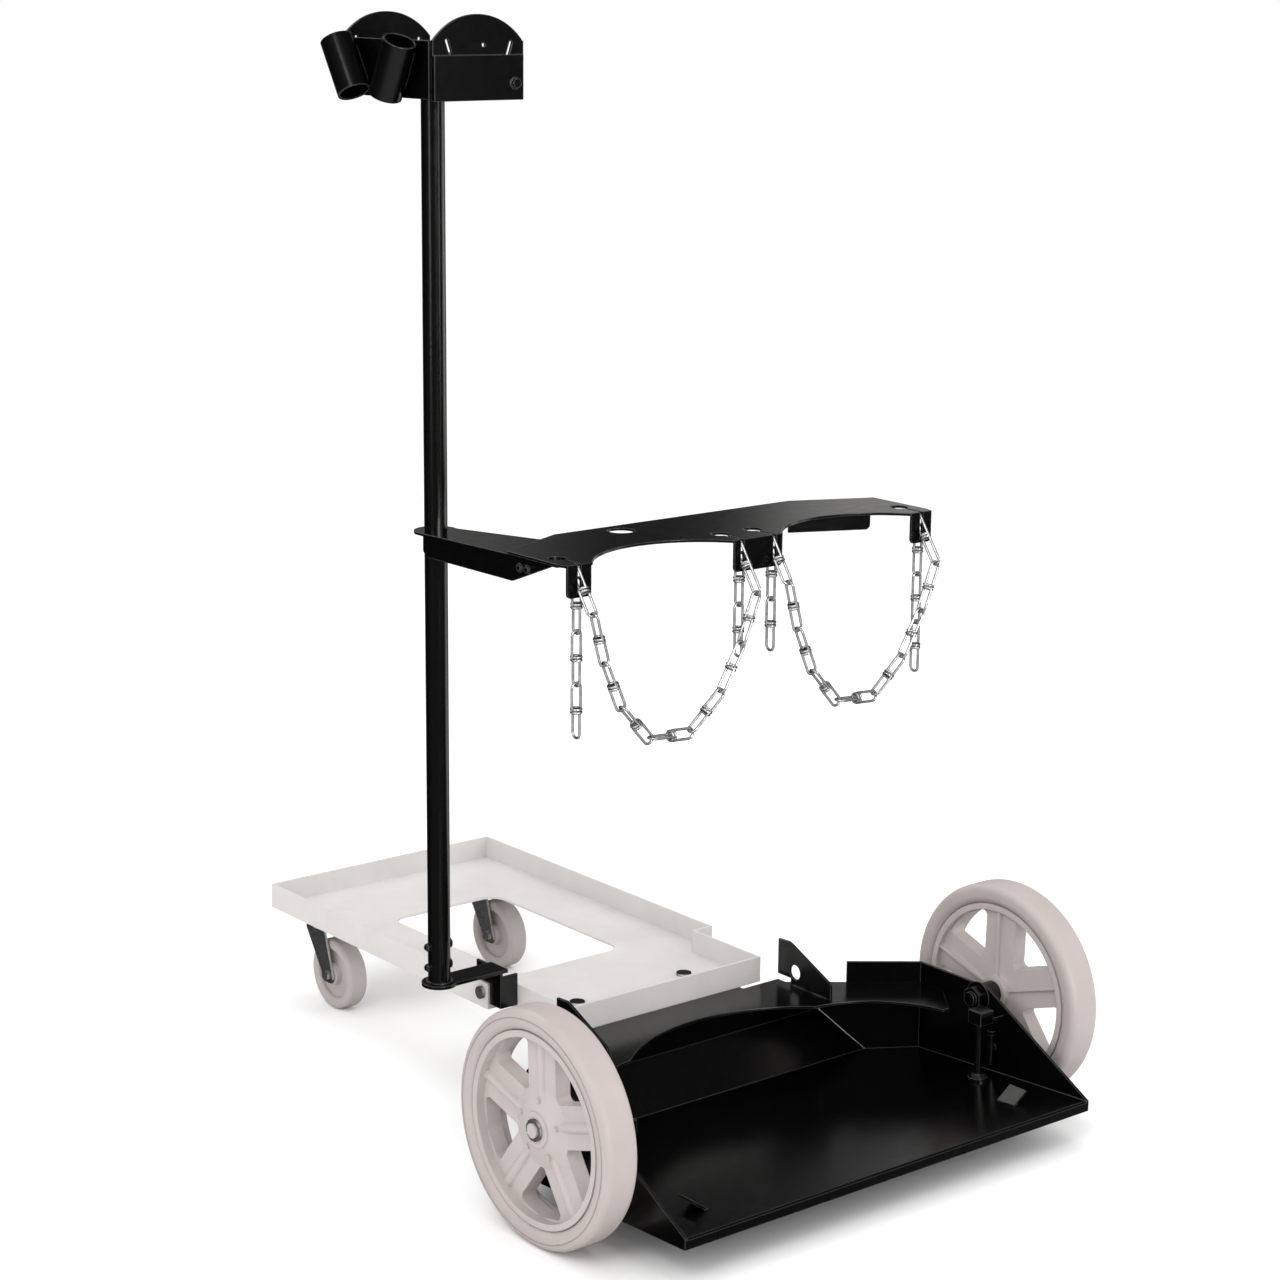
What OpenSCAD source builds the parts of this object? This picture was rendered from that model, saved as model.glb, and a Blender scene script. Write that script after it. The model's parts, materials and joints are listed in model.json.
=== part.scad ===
// Two-wheeled gas cylinder and torch cart: a low cylinder tray on a wheeled chassis,
// a chained cylinder bracket, and a tall post with a cable saddle and torch tubes.
// Lengths are in millimetres. Every module is drawn with the wheel axle line at y = 0
// and the ground at z = 0, and cart() then centres the whole cart on its origin.

/* [Sheet metal] */
// Thickness of the formed sheet parts
sheet = 3; // [2:0.5:4]
// Running gap between parts that move past each other
gap = 0.3; // [0.2:0.05:0.5]

/* [Wheels] */
// Outer diameter of the rear tyres
wheel_d = 254; // [230:2:280]
// Width of the rear tyres
tyre_w = 43; // [34:1:50]
// Outer diameter of the hub rim inside the tyre
rim_d = 209; // [190:1:215]
// Number of windows and spokes in a hub
spokes = 5; // [4:1:7]
// Diameter of the stub axles
axle_d = 15.8; // [12:0.2:18]
// Length of the spacer sleeve between tray wall and wheel
spacer_len = 20; // [12:1:30]

/* [Cylinder tray] */
// Width over the tray's side walls
tray_w = 589; // [560:1:620]
// Distance from the axle line to the tray's front lip
tray_reach = 173; // [160:1:190]
// Height of the side walls' top edge
wall_top = 142; // [136:1:150]
// Height of the front edge of the floor
lip_top = 53; // [48:1:60]
// Depth of the front lip that hangs from the floor
lip_drop = 12; // [8:1:16]
// Height of the floor at its rear fold
floor_rear = 33; // [28:1:40]
// Height of the lower shelf's top face
shelf_top = 117; // [112:1:122]
// Radius of the two cylinder cut-outs in the shelf
shelf_arc_r = 126; // [116:1:132]
// Sideways place of the two cylinder cut-outs
shelf_arc_x = 124; // [118:1:130]
// Radius of the wide centre cut-out in the shelf
shelf_mid_r = 208; // [204:1:214]

/* [Shelf ears] */
// Sideways place of the two ears
ear_x = 165; // [155:1:172]
// Diameter of the hole in each ear
ear_hole_d = 18; // [10:1:20]

/* [Chassis] */
// Width over the chassis sides
chassis_w = 338; // [320:1:350]
// Distance from the axle line to the chassis front
chassis_reach = 800; // [700:5:840]
// Height of the chassis sides
chassis_side = 31; // [25:1:40]

/* [Casters] */
// Diameter of the caster wheels
caster_d = 90; // [76:1:94]
// Width of the caster wheels
caster_w = 26; // [20:1:30]
// Offset of the caster wheel behind its swivel
caster_trail = 28; // [20:1:34]
// Sideways place of the caster swivels
caster_x = 125; // [100:1:128]

/* [Post] */
// Outer diameter of the post tube
post_d = 25.4; // [22:0.2:28]
// Wall of the post tube
post_wall = 2; // [1.5:0.1:3]
// Sideways place of the post
post_x = -247; // [-252:1:-242]
// Distance from the axle line to the post
post_y = 318; // [312:1:324]
// Height of the post's foot
post_foot = 173.5; // [170:0.5:178]

/* [Upper bracket] */
// Height of the bracket plate's top face
bracket_top = 693; // [640:1:740]
// Length of the chain tabs below the plate
tab_len = 35; // [32:1:40]
// Sideways place of the outer chain slots
slot_outer_x = 243; // [236:1:248]
// Sideways place of the inner chain slots
slot_inner_x = 23; // [20:1:25]
// Radius of the two cylinder scallops
scallop_r = 119; // [112:1:122]
// Sideways place of the two cylinder scallops
scallop_x = 130; // [124:1:134]

/* [Chain] */
// Diameter of the chain wire
wire = 3; // [2:0.1:3.4]
// Pitch of one double link
pitch = 55.5; // [53:0.5:58]
// Half width of a link's loop, to the middle of the wire
loop_half = 5.7; // [5:0.1:6]
// Number of double links in each hanging loop
loop_links = 7; // [7:2:9]
// Number of double links in the outer tails
outer_tail_links = 3; // [2:1:4]
// Number of double links in the inner tails
inner_tail_links = 2; // [1:1:3]

/* [Cable saddle] */
// Width of the half-moon end plates
moon_w = 112; // [100:1:120]
// Distance between the outer faces of the end plates
saddle_len = 168; // [150:2:180]
// Distance from the post's middle to the front end plate
saddle_front = 81; // [74:1:88]
// Height of the end plates' lower edge
saddle_low = 1151; // [1120:1:1180]
// Height of the end plates from lower edge to crown
moon_h = 87; // [80:1:95]
// Straight part of the end plates' sides
moon_side = 61; // [50:1:66]
// Height of the cable rest above the plates' lower edge
rest_rise = 46; // [40:1:52]

/* [Torch tubes] */
// Outer diameter of the torch tubes
torch_d = 35; // [32:1:40]
// Wall of the torch tubes
torch_wall = 2; // [1.5:0.1:3]
// Length of the torch tubes
torch_len = 62; // [50:1:70]
// Tilt of the front torch tube from upright
front_tilt = 26; // [10:1:30]
// Tilt of the rear torch tube from upright
rear_tilt = 31; // [10:1:34]
// Spacing of the torch tubes along the saddle
torch_gap = 87; // [84:1:96]

/* [Hidden] */
$fn = 64;

black = [0.06, 0.06, 0.065];
taupe = [0.76, 0.73, 0.71];
pale = [0.83, 0.81, 0.79];
zinc = [0.78, 0.79, 0.80];

// Axle and wheel places, worked out from the wheel and tray sizes
axle_z = wheel_d / 2;
axle_r = axle_d / 2;
wall_x = tray_w / 2;
wheel_in = wall_x + spacer_len + gap;
wheel_out = wheel_in + tyre_w;
hub_recess = 7;
hub_out = wheel_out - hub_recess;
washer_t = 1.6;
washer_r = axle_r + 6;
nut_t = 3;
running = 0.05;

// Tray places
fold_y = 135;
foot_bolt_y = 345;
foot_bolt_z = 135;
bend_y = 171;
bend_z = 84;
corner_y = 97;
corner_x = wall_x;
diag_x = 165;
diag_y = 198;
shelf_low = shelf_top - sheet;
shelf_rear = 207;
corner_lean = atan2(diag_y - corner_y, corner_x - diag_x);
strut_in = 36.5;
strut_x = wall_x - strut_in;
strut_y = -35;
strut_r = 4;
stop_lean = 35;

// Chassis places
pan_low = shelf_top;
step_y = 333;
narrow_x = 142;
chassis_x = chassis_w / 2;
pan_rear = 213;
tongue_y = 300;
tongue_x = 110;
caster_y = chassis_reach - 60;
fork_top = 104;
fork_t = 3;
caster_axle_r = 4;
caster_axle_z = caster_d / 2;

// Post and bracket places
disc_t = 4;
disc_r = 20;
notch_z = 123;
strap_w = 32;
angle_y = 312;
plate_low = bracket_top - sheet;
tab_y = 69;
tab_mid = tab_y + sheet / 2;
moon_x = post_x;
rest_z = saddle_low + rest_rise;
moon_r = (pow(moon_w / 2, 2) + pow(moon_h - moon_side, 2)) / (2 * (moon_h - moon_side));

// The cart's extents, which put its origin at the middle of its footprint
weld = 0.05;
return_len = 14;
torch_x = moon_x - moon_w / 2 - sheet - torch_d / 2 - weld;
left_end = min(-hub_out - 2 * nut_t, -wheel_out, torch_x - torch_d / 2);
right_end = wheel_out;
middle_x = (left_end + right_end) / 2;
middle_y = (chassis_reach - tray_reach) / 2;

module cart() {
    translate([-middle_x, -middle_y, 0]) children();
}

// A flat convex outline whose corners are rounded outwards from the points by r. Its
// straight edges cut a little into the corner circles, so no two curves only touch.
module soft_outline(points, r) {
    n = len(points);
    inset = r * 0.985;
    rims = [
        for (i = [0 : n - 1])
            let (a = points[i], b = points[(i + 1) % n], d = b - a, u = d / norm(d))
            for (p = [a, b]) p + inset * [u[1], -u[0]]
    ];
    polygon(rims);
    for (p = points) translate(p) circle(r);
}

// A plate that stands in the YZ plane at x, with its thickness towards +X
module side_plate(x, t) {
    translate([x, 0, 0]) rotate([90, 0, 90]) linear_extrude(t) children();
}

// A plate that stands in the XZ plane at y, with its thickness towards +Y
module front_plate(y, t) {
    translate([0, y + t, 0]) rotate([90, 0, 0]) linear_extrude(t) children();
}

module both_sides() {
    children();
    mirror([1, 0, 0]) children();
}

// A cylinder along X from x0 to x1
module bar_x(x0, x1, r, sides = 48) {
    translate([x0, 0, 0]) rotate([0, 90, 0]) cylinder(h = x1 - x0, r = r, $fn = sides);
}

// ---- Cylinder tray ----

// Distance along Y of a line inside the corner wall, a given depth from its outer face
function corner_line(x, depth) = corner_y + (corner_x - x) * tan(corner_lean) - depth / cos(corner_lean);

// The floor ends in the middle of the walls' thickness, where they are welded to it
module tray_plan() {
    side = wall_x - sheet / 2;
    polygon([
        [-side, -tray_reach], [side, -tray_reach], [side, corner_line(side, sheet / 2)],
        [diag_x, corner_line(diag_x, sheet / 2)], [-diag_x, corner_line(diag_x, sheet / 2)],
        [-side, corner_line(side, sheet / 2)]
    ]);
}

// Section through lip, floor, rear slope and rear wall
module tray_section() {
    lip = tray_reach;
    polygon([
        [-lip, lip_top - lip_drop], [-lip, lip_top - 2], [-lip + 2, lip_top],
        [fold_y, floor_rear], [bend_y - 1, bend_z], [bend_y - 1, shelf_low],
        [bend_y - 1 + sheet, shelf_low], [bend_y - 1 + sheet, bend_z - 1],
        [fold_y + 1, floor_rear - sheet], [-lip + sheet + 1, lip_top - sheet],
        [-lip + sheet, lip_top - lip_drop]
    ]);
}

module side_wall_outline() {
    polygon([
        [-tray_reach, lip_top - lip_drop], [corner_y - gap, floor_rear - 5], [corner_y - gap, wall_top],
        [-9, wall_top], [-15, wall_top - 2], [-tray_reach, lip_top]
    ]);
}

// Upright wall across a rear corner, from the side wall to the shelf's rear edge
module corner_wall() {
    run = [diag_x - corner_x, diag_y - corner_y];
    turn = atan2(run[1], run[0]);
    flap = norm([224 - corner_x, 152 - corner_y]);
    fold = norm(run) * (fold_y - corner_y) / run[1];
    bend = norm(run) * (bend_y - corner_y) / run[1];
    translate([corner_x, corner_y, 0]) rotate([0, 0, turn]) translate([0, sheet, 0])
        rotate([90, 0, 0]) linear_extrude(sheet) polygon([
            [0, floor_rear - 5], [fold, floor_rear - sheet], [bend, bend_z - sheet],
            [bend + 4, bend_z], [bend + 4, shelf_low],
            [flap, shelf_low], [flap, wall_top], [0, wall_top]
        ]);
}

module stop_tab() {
    translate([wall_x - 70, -126, floor_at(-113) - sheet + 0.5])
        rotate([0, -stop_lean, 0]) cube([24, 25, sheet]);
}

module cylinder_tray() cart() color(black) {
    difference() {
        union() {
            intersection() {
                side_plate(-wall_x, tray_w) tray_section();
                linear_extrude(wall_top) tray_plan();
            }
            both_sides() side_plate(wall_x - sheet, sheet) side_wall_outline();
            both_sides() corner_wall();
            both_sides() stop_tab();
        }
        translate([0, 0, axle_z]) bar_x(-wall_x - 1, wall_x + 1, axle_r + running);
        both_sides() latch_place() cylinder(h = 12, r = 4.1, center = true);
    }
}

// ---- Lower shelf and its ears ----

function corner_inside(x) = corner_line(x, sheet + gap);

module shelf_plan() {
    inner = wall_x - sheet;
    difference() {
        union() {
            polygon([
                [-inner, 58], [-256, 12], [256, 12], [inner, 58],
                [inner, corner_inside(inner)], [diag_x, corner_inside(diag_x)], [diag_x, shelf_rear],
                [-diag_x, shelf_rear], [-diag_x, corner_inside(diag_x)], [-inner, corner_inside(inner)]
            ]);
            translate([-tongue_x, shelf_rear - 1]) square([2 * tongue_x, tongue_y - shelf_rear + 1]);
        }
        for (s = [-1, 1]) translate([s * shelf_arc_x, -15]) circle(shelf_arc_r, $fn = 96);
        translate([0, 162 - shelf_mid_r]) circle(shelf_mid_r, $fn = 128);
        shelf_bolt_places() circle(4.1);
    }
}

shelf_bolt_x = 80;
shelf_bolt_y = 235;
shelf_bolt_step = 45;

module shelf_bolt_places() {
    for (x = [-shelf_bolt_x, shelf_bolt_x], y = [shelf_bolt_y, shelf_bolt_y + shelf_bolt_step])
        translate([x, y]) children();
}

module lower_shelf() cart() color(black) {
    translate([0, 0, shelf_low]) linear_extrude(sheet) shelf_plan();
}

module shelf_bolts() cart() color(zinc) {
    translate([0, 0, 0]) shelf_bolt_places() {
        translate([0, 0, shelf_low - 6]) cylinder(h = 6, r = 7.5, $fn = 6);
        translate([0, 0, shelf_low - 8]) cylinder(h = sheet * 2 + 8 + 0.5, r = 4);
        translate([0, 0, shelf_top + sheet]) cylinder(h = 3, r = 9);
    }
}

module ear_outline() {
    difference() {
        polygon([
            [114, shelf_top], [183, shelf_top], [183, shelf_top + 8], [206, shelf_top + 8],
            [206, 168], [188, 169], [182, 167], [116, 137], [114, 134]
        ]);
        translate([176, 134]) circle(ear_hole_d / 2);
    }
}

module shelf_ear(side) {
    side_plate(side * ear_x - sheet / 2, sheet) ear_outline();
}

module shelf_ear_left() cart() color(black) shelf_ear(-1);
module shelf_ear_right() cart() color(black) shelf_ear(1);

// ---- Axle hardware inside the tray ----

function floor_at(y) = lip_top + (floor_rear - lip_top) * (y + tray_reach - 2) / (fold_y + tray_reach - 2);

module axle_strut(side) {
    foot = floor_at(strut_y) + 0.8;
    translate([side * strut_x, strut_y, foot]) {
        cylinder(h = 3, r = 11);
        cylinder(h = axle_z - foot, r = strut_r);
        translate([side * 1, 0, 0]) cylinder(h = 6, r = 8, $fn = 6);
    }
    translate([side * (strut_x + 4), strut_y + 2, axle_z - 8]) cube([20, 20, 16], center = true);
    translate([min(side * strut_x, side * (wall_x - sheet)), strut_y - 6, axle_z - 14])
        cube([wall_x - sheet - strut_x, 16, sheet]);
}

module axle_strut_left() cart() color(black) axle_strut(-1);
module axle_strut_right() cart() color(black) axle_strut(1);

latch_y = -28;
latch_z = 74;
latch_len = 36;

module latch_place() {
    translate([wall_x - sheet / 2, latch_y, latch_z]) rotate([0, 90, 0]) children();
}

// Small plungers through the side walls, each with a bright cap and a black pull
module wall_latch_pins() cart() color(black) {
    both_sides() {
        latch_place() cylinder(h = sheet + 4, r = 4, center = true);
        translate([wall_x - sheet - 6, latch_y, latch_z - 20]) cylinder(h = latch_len, r = 3.4);
        translate([wall_x - sheet - 6, latch_y, latch_z - 20 + latch_len]) cylinder(h = 5, r = 5);
    }
}

module stub_axle(side) {
    nut_in = wall_x - sheet - washer_t;
    mirror([side < 0 ? 1 : 0, 0, 0]) translate([0, 0, axle_z]) {
        bar_x(nut_in - 10, nut_in, 14, 6);
        bar_x(nut_in - 14, hub_out + gap + nut_t + 2, axle_r);
    }
}

module stub_axle_left() cart() color(black) stub_axle(-1);
module stub_axle_right() cart() color(black) stub_axle(1);

module ring_x(x0, x1, outer, inner) {
    difference() {
        bar_x(x0, x1, outer);
        bar_x(x0 - 1, x1 + 1, inner);
    }
}

module axle_washers() cart() color(black) {
    both_sides() translate([0, 0, axle_z])
        ring_x(wall_x - sheet - washer_t, wall_x - sheet, washer_r + 4, axle_r + running);
}

module axle_spacers() cart() color(black) {
    both_sides() translate([0, 0, axle_z])
        ring_x(wall_x, wall_x + spacer_len, washer_r, axle_r + running);
}

module push_nuts() cart() color(zinc) {
    both_sides() translate([0, 0, axle_z]) difference() {
        ring_x(hub_out + gap, hub_out + gap + nut_t, axle_r + 4, axle_r + running);
        for (a = [0 : 60 : 300]) rotate([a, 0, 0])
            translate([hub_out + gap + nut_t - 1, -1, axle_r + 1.5]) cube([2, 2, 4]);
    }
}

// ---- Rear wheels ----

// A rectangle with round corners, made of exact arcs
module round_box(size, r) {
    translate([r, 0]) square([size[0] - 2 * r, size[1]]);
    translate([0, r]) square([size[0], size[1] - 2 * r]);
    for (x = [r, size[0] - r], y = [r, size[1] - r]) translate([x, y]) circle(r, $fn = 32);
}

module spin_x(x) {
    translate([x, 0, axle_z]) rotate([0, 90, 0]) rotate_extrude($fn = 128) children();
}

tyre_shoulder = 9;

// Tyre section: flat tread, round shoulders and a step where the sidewall meets the rim
module tyre(side) {
    tyre_in = rim_d / 2 + 0.1;
    wall = axle_z - tyre_in;
    shoulder = min(tyre_shoulder, wall * 0.42);
    mirror([side < 0 ? 1 : 0, 0, 0]) spin_x(wheel_in) {
        difference() {
            translate([tyre_in, 0]) round_box([wall, tyre_w], shoulder);
            translate([tyre_in + 13, tyre_w - 0.8]) square([1.2, 2]);
        }
        translate([tyre_in, 6]) square([shoulder, tyre_w - 12]);
    }
}

module tyre_left() cart() color(taupe) tyre(-1);
module tyre_right() cart() color(taupe) tyre(1);

rim_t = 7;
boss_r = 19;
window_in = 50;
window_out = rim_d / 2 - rim_t - 8;
spoke_half = 17;
ridge_r = 7;

module hub_window() {
    soft_outline([
        [window_in, 0],
        [window_out * cos(spoke_half), -window_out * sin(spoke_half)],
        [window_out + 2, 0],
        [window_out * cos(spoke_half), window_out * sin(spoke_half)]
    ], 6.5);
}

// Dished web between boss and rim, thicker at the boss
module hub_web_section() {
    face = tyre_w - hub_recess;
    rim_in = rim_d / 2 - rim_t + 0.5;
    polygon([
        [boss_r - 2, 8], [boss_r - 2, face - 1], [boss_r + 13, face - 5],
        [boss_r + 24, face - 9], [rim_in, face - 7], [rim_in, 10]
    ]);
}

// One spoke's rounded ridge on the outer face, its stiffening rib inside and its stud
module hub_spoke() {
    face = tyre_w - hub_recess;
    translate([4.5, boss_r - 3, -2]) cube([8, rim_d / 2 - rim_t - boss_r + 4, 4]);
    translate([face - 10, boss_r - 4, 0]) rotate([-90, 0, 0])
        cylinder(h = rim_d / 2 - rim_t - boss_r + 5, r1 = ridge_r - 2.5, r2 = ridge_r);
    translate([face - 7, 31, 0]) bar_x(0, 5.5, 2.6, 24);
}

module wheel_hub(side) {
    mirror([side < 0 ? 1 : 0, 0, 0]) {
        spin_x(wheel_in) translate([rim_d / 2 - rim_t, 3]) square([rim_t, tyre_w - 6]);
        spin_x(wheel_in) translate([axle_r + running, 0]) square([boss_r - axle_r, tyre_w - hub_recess]);
        difference() {
            spin_x(wheel_in) hub_web_section();
            for (i = [0 : spokes - 1]) translate([wheel_in, 0, axle_z])
                rotate([i * 360 / spokes - 90, 0, 0]) rotate([90, 0, 90])
                    linear_extrude(tyre_w) hub_window();
        }
        for (i = [0 : spokes - 1]) translate([wheel_in, 0, axle_z])
            rotate([(i + 0.5) * 360 / spokes - 90, 0, 0]) hub_spoke();
    }
}

module wheel_hub_left() cart() color(taupe) wheel_hub(-1);
module wheel_hub_right() cart() color(taupe) wheel_hub(1);

// ---- Chassis ----

module pan_plan(inset) {
    polygon([
        [-chassis_x + inset, chassis_reach - inset], [-chassis_x + inset, step_y + inset],
        [-narrow_x + inset, step_y + inset], [-narrow_x + inset, pan_rear + inset],
        [narrow_x - inset, pan_rear + inset], [narrow_x - inset, step_y + inset],
        [chassis_x - inset, step_y + inset], [chassis_x - inset, chassis_reach - inset]
    ]);
}

module chassis_pan() cart() color(pale) {
    difference() {
        translate([0, 0, pan_low]) linear_extrude(chassis_side) pan_plan(0);
        translate([0, 0, pan_low + sheet]) linear_extrude(chassis_side) pan_plan(sheet);
        translate([0, 0, pan_low - 1]) linear_extrude(sheet + 2) {
            shelf_bolt_places() circle(4.1);
            translate([-80, 400]) round_box([160, 260], 20);
        }
        translate([-chassis_x - 1, foot_bolt_y, foot_bolt_z]) rotate([0, 90, 0])
            cylinder(h = sheet + 2, r = 4.1);
        translate([leg_in, step_y - 1, notch_z - gap]) cube([sheet + gap, sheet + 2, chassis_side]);
    }
}

cross_w = 80;
cross_in = 10;

// Channel under the pan that carries the caster plates
module chassis_crossmember() cart() color(pale) {
    difference() {
        translate([-chassis_x + cross_in, caster_y - cross_w / 2, pan_low - sheet])
            cube([chassis_w - 2 * cross_in, cross_w, sheet]);
        for (s = [-1, 1]) translate([s * caster_x, caster_y, pan_low - sheet - 1]) cylinder(h = 5, r = 9);
    }
}

// ---- Casters ----

module caster_plate(side) {
    top = pan_low - sheet;
    translate([side * caster_x, caster_y, 0]) {
        translate([-30, -30, top - sheet]) cube([60, 60, sheet]);
        translate([0, 0, fork_top + gap]) cylinder(h = top - sheet - fork_top - gap, r = 22);
        translate([0, 0, fork_top - fork_t - gap - 3]) cylinder(h = 14, r = 6);
        translate([0, 0, fork_top - fork_t - gap - 5]) cylinder(h = 5, r = 10);
        for (x = [-22, 22], y = [-22, 22])
            translate([x, y, top - sheet - 4]) cylinder(h = 5, r = 5, $fn = 6);
    }
}

module caster_plate_left() cart() color(zinc) caster_plate(-1);
module caster_plate_right() cart() color(zinc) caster_plate(1);

module caster_leg() {
    polygon([
        [-20, fork_top], [20, fork_top], [20, fork_top - 8],
        [-caster_trail + 11, caster_axle_z - 4], [-caster_trail + 6, caster_axle_z - 10],
        [-caster_trail - 6, caster_axle_z - 10], [-caster_trail - 11, caster_axle_z - 4],
        [-24, fork_top - 14]
    ]);
}

module caster_fork(side) {
    leg_x = caster_w / 2 + 2;
    translate([side * caster_x, caster_y, 0]) difference() {
        union() {
            translate([-leg_x - fork_t, -20, fork_top - fork_t]) cube([2 * (leg_x + fork_t), 40, fork_t]);
            translate([0, 0, fork_top - fork_t]) cylinder(h = fork_t, r = 22);
            both_sides() side_plate(leg_x, fork_t) caster_leg();
        }
        translate([0, 0, fork_top - fork_t - 1]) cylinder(h = fork_t + 2, r = 6 + running);
        translate([0, -caster_trail, caster_axle_z]) bar_x(-40, 40, caster_axle_r + running);
    }
}

module caster_fork_left() cart() color(zinc) caster_fork(-1);
module caster_fork_right() cart() color(zinc) caster_fork(1);

module caster_axle(side) {
    reach = caster_w / 2 + 2 + fork_t;
    translate([side * caster_x, caster_y - caster_trail, caster_axle_z]) {
        bar_x(-reach - 1, reach + 1, caster_axle_r);
        bar_x(-reach - 5, -reach, 7, 6);
        bar_x(reach, reach + 4, 7, 24);
    }
}

module caster_axle_left() cart() color(zinc) caster_axle(-1);
module caster_axle_right() cart() color(zinc) caster_axle(1);

module caster_wheel(side) {
    r = caster_d / 2;
    translate([side * caster_x - caster_w / 2, caster_y - caster_trail, caster_axle_z])
        rotate([0, 90, 0]) rotate_extrude($fn = 96) difference() {
            union() {
                translate([r - 14, 0]) round_box([14, caster_w], 5);
                translate([12, 7]) square([r - 20, caster_w - 14]);
                translate([caster_axle_r + running, -1]) square([10, caster_w + 2]);
            }
        }
}

module caster_wheel_left() cart() color(taupe) caster_wheel(-1);
module caster_wheel_right() cart() color(taupe) caster_wheel(1);

// ---- Foot bracket, post and arm ----

strap_low = post_foot - disc_t;
leg_in = -chassis_x + sheet;

module foot_bracket() cart() color(black) {
    difference() {
        union() {
            translate([post_x, post_y - strap_w / 2, strap_low])
                cube([leg_in - post_x + sheet, strap_w, disc_t]);
            translate([post_x, post_y, strap_low]) cylinder(h = disc_t, r = disc_r);
            translate([leg_in, angle_y, notch_z])
                cube([sheet, step_y + 26 - angle_y, strap_low - notch_z + 1]);
            translate([leg_in, angle_y, notch_z]) cube([-narrow_x - leg_in, sheet, 38]);
        }
        translate([leg_in - 1, foot_bolt_y, foot_bolt_z]) rotate([0, 90, 0])
            cylinder(h = sheet + 2, r = 4.1);
    }
}

module foot_bracket_bolt() cart() color(zinc) {
    translate([-chassis_x, foot_bolt_y, foot_bolt_z]) {
        bar_x(-4, 0, 7.5, 24);
        bar_x(-3, 2 * sheet + 8, 4);
        bar_x(2 * sheet, 2 * sheet + 6, 7.5, 6);
    }
}

spigot_len = 62;
spigot_r = post_d / 2 - post_wall - 0.1;
cross_z = [post_foot + 19, post_foot + 43];

// Stub welded on the foot disc, inside the post
module post_spigot() cart() color(black) {
    translate([post_x, post_y, 0]) difference() {
        translate([0, 0, post_foot]) cylinder(h = spigot_len, r = spigot_r);
        for (z = cross_z) translate([0, 0, z]) bar_x(-30, 30, 3.1, 32);
    }
}

module post() cart() color(black) {
    translate([post_x, post_y, 0]) difference() {
        translate([0, 0, post_foot]) cylinder(h = rest_z - sheet - post_foot, r = post_d / 2);
        translate([0, 0, post_foot - 1]) cylinder(h = rest_z - post_foot + 2, r = post_d / 2 - post_wall);
        for (z = cross_z) translate([0, 0, z]) bar_x(-30, 30, 3.1, 32);
    }
}

module post_cross_bolts() cart() color(black) {
    for (z = cross_z) translate([post_x, post_y, z]) {
        bar_x(-post_d / 2 - 6, post_d / 2 + 1, 3, 32);
        bar_x(-post_d / 2 - 4, -post_d / 2, 5, 6);
        bar_x(post_d / 2, post_d / 2 + 1.6, 6.2);
        translate([post_d / 2 + 1.6, 0, 0]) rotate([0, 90, 0]) cylinder(h = 2, r1 = 6.2, r2 = 3.6);
    }
}

arm_end_r = 24;
arm_front = [-256, 90];
arm_back = [post_x - arm_end_r, post_y];
arm_turn = atan2(arm_back[0] - arm_front[0], arm_back[1] - arm_front[1]);

module arm_plan() {
    translate([post_x, post_y]) circle(arm_end_r);
    polygon([
        arm_back, arm_front, [-222, 90], [-192, 150], [-187, 207],
        [post_x + arm_end_r - 1, post_y - 6]
    ]);
}

// Flange folded down from the arm's outer edge, cut back towards the bracket
module arm_flange() {
    run = norm(arm_back - arm_front);
    translate([arm_front[0], arm_front[1], 0]) rotate([0, 0, 90 - arm_turn])
        rotate([90, 0, 0]) linear_extrude(sheet) polygon([
            [8, plate_low - 3], [71, plate_low - 28], [run - 15, plate_low - 25],
            [run - 9, plate_low - 19], [run - 9, plate_low - sheet / 2], [0, plate_low - sheet / 2]
        ]);
}

module post_arm() cart() color(black) {
    difference() {
        union() {
            translate([0, 0, plate_low - sheet]) linear_extrude(sheet) arm_plan();
            arm_flange();
        }
        translate([post_x, post_y, plate_low - 10]) cylinder(h = 20, r = post_d / 2 + 0.1);
        arm_screw_places() cylinder(h = 20, r = 3.1, center = true);
    }
}

module arm_screw_places() {
    for (along = [43, 55]) translate([arm_front[0], arm_front[1], 0])
        rotate([0, 0, 90 - arm_turn]) translate([along, -sheet / 2, plate_low - 11])
            rotate([90, 0, 0]) children();
}

module arm_screws() cart() color(black) {
    arm_screw_places() {
        cylinder(h = 14, r = 3, center = true, $fn = 32);
        translate([0, 0, -sheet / 2 - 4]) cylinder(h = 4, r = 5, $fn = 32);
        translate([0, 0, sheet / 2]) cylinder(h = 4, r = 5, $fn = 6);
    }
}

// ---- Upper bracket ----

wing_x = 262;
outer_tab_in = 227.5;
outer_tab_out = 258.5;
inner_tab_x = 34;
slot_w = wire + 1.4;
keyhole_r = 10;
// Half length of a straight link, from knot to the middle of the end wire
link_reach = pitch / 2 + (wire + gap) / 2;
// A hooked link slopes down and forward through its slot
hook_tilt = 55;
hook_stub = 14;
hook_axis_z = plate_low - 12.2;
// Place [y, z] of a hooked link's knot, and of the line that a hanging loop swings about
knot0 = [tab_mid - hook_stub * cos(hook_tilt), hook_axis_z - hook_stub * sin(hook_tilt)];
hang = [knot0[0] - link_reach * cos(hook_tilt), knot0[1] - link_reach * sin(hook_tilt)];
// Height of the middle of a hooked link's lower leg where it passes y
function hook_leg_z(y) = hook_axis_z + (y - tab_mid) * tan(hook_tilt) - loop_half / cos(hook_tilt);
slot_floor = hook_leg_z(tab_y) - (wire / 2 + gap) / cos(hook_tilt);
// Place of the wire by which a tail hangs on the hooked link, just behind its tab
tail_y = tab_y + sheet + gap + wire / 2;
tail_z = hook_leg_z(tail_y) + (wire + gap) / cos(hook_tilt);

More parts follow.
